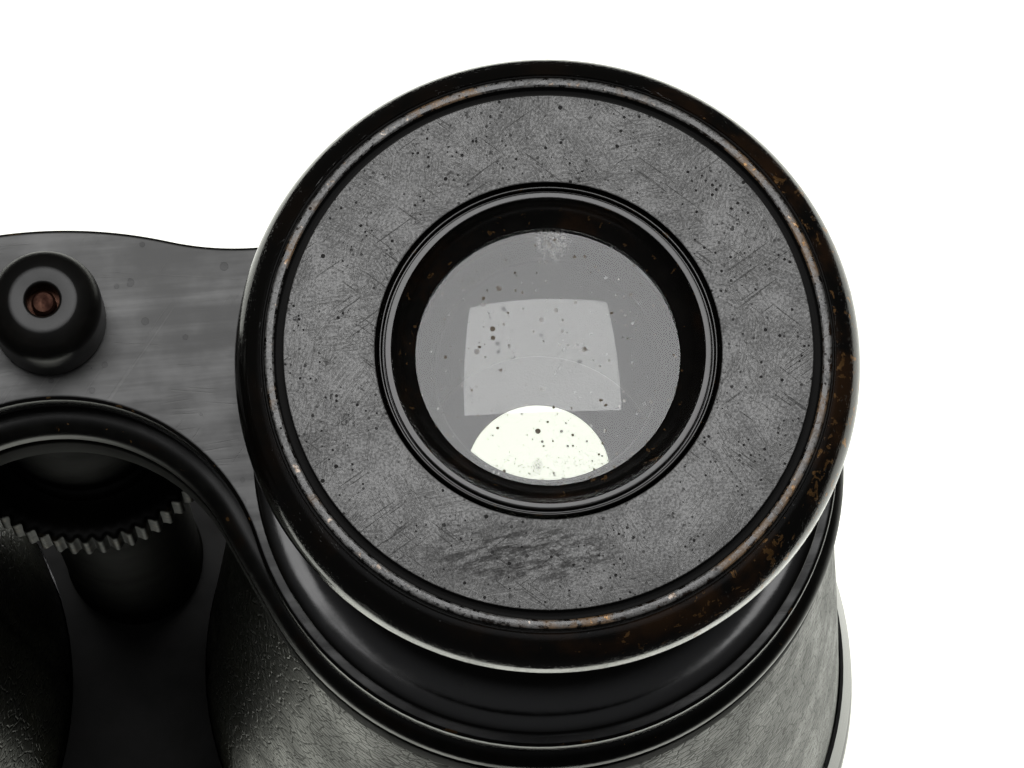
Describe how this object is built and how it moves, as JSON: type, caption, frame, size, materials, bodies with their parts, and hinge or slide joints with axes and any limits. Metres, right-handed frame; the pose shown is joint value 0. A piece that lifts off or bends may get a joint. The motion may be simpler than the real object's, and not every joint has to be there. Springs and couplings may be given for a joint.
{
  "type": "field glasses",
  "caption": "Galilean field glasses: two tapered leather-covered barrels joined by bridges, with eyepieces carried on a plate that a central focus wheel raises.",
  "frame": {"origin": "midway between the two optical axes, in the plane of the objective rims that the glasses stand on", "axes": "+Z along the optical axes towards the eyepieces, +X to the right-hand barrel in the pictured view, +Y to the side of the focusing screw"},
  "size_m": [0.1212, 0.0568, 0.124],
  "materials": {
    "satin_lacquer": "satin black lacquer on brass, scuffed",
    "gloss_lacquer": "glossy black lacquer on brass, worn to brass at edges",
    "draw_tube_lacquer": "black lacquer, polished by sliding",
    "wheel_lacquer": "black lacquer, knurling worn to brass",
    "inside_black": "matt black inside finish",
    "leather": "grained black leather, polished by handling",
    "felt": "black felt",
    "brass": "aged brass",
    "lens_glass": "polished uncoated lens"
  },
  "bodies": {
    "body": {"guide_sleeve_left": "inside_black", "felt_lining_left": "felt", "barrel_left": "inside_black", "leather_cover_left": "leather", "objective_ring_left": "gloss_lacquer", "objective_crown_lens_left": "lens_glass", "objective_flint_lens_left": "lens_glass", "objective_retainer_left": "inside_black", "guide_sleeve_right": "inside_black", "felt_lining_right": "felt", "barrel_right": "inside_black", "leather_cover_right": "leather", "objective_ring_right": "gloss_lacquer", "objective_crown_lens_right": "lens_glass", "objective_flint_lens_right": "lens_glass", "objective_retainer_right": "inside_black", "top_plate": "gloss_lacquer", "frame_plate": "gloss_lacquer", "lower_bridge": "gloss_lacquer", "thrust_washer_upper": "brass", "thrust_washer_lower": "brass", "column_collar": "gloss_lacquer", "centre_column": "gloss_lacquer", "column_end_screw": "gloss_lacquer", "top_plate_screw_1": "brass", "top_plate_screw_2": "brass", "top_plate_screw_3": "brass", "top_plate_screw_4": "brass"},
    "ocular_bridge": {"eyecup_left": "satin_lacquer", "lens_bezel_left": "gloss_lacquer", "eye_lens_left": "lens_glass", "eye_lens_retainer_left": "inside_black", "eyepiece_neck_left": "gloss_lacquer", "draw_tube_left": "draw_tube_lacquer", "draw_tube_stop_left": "inside_black", "eyecup_right": "satin_lacquer", "lens_bezel_right": "gloss_lacquer", "eye_lens_right": "lens_glass", "eye_lens_retainer_right": "inside_black", "eyepiece_neck_right": "gloss_lacquer", "draw_tube_right": "draw_tube_lacquer", "draw_tube_stop_right": "inside_black", "moving_bridge_plate": "satin_lacquer", "dome_nut": "gloss_lacquer", "focus_screw": "brass"},
    "wheel": {"focus_wheel": "wheel_lacquer", "focus_nut": "brass"}
  },
  "joints": [
    {"name": "wheel_turn", "type": "hinge", "parent": "body", "child": "wheel", "pos_m": [0, 0.01, 0.0682], "axis": [0, 0, -1], "range_deg": [0, 360]},
    {"name": "focus_slide", "type": "slide", "parent": "body", "child": "ocular_bridge", "axis": [0, 0, 1], "range_m": [0, 0.012]}
  ],
  "couplings": [
    {"joint": "wheel_turn", "follows": "focus_slide", "rad_per_m": 523.6}
  ]
}
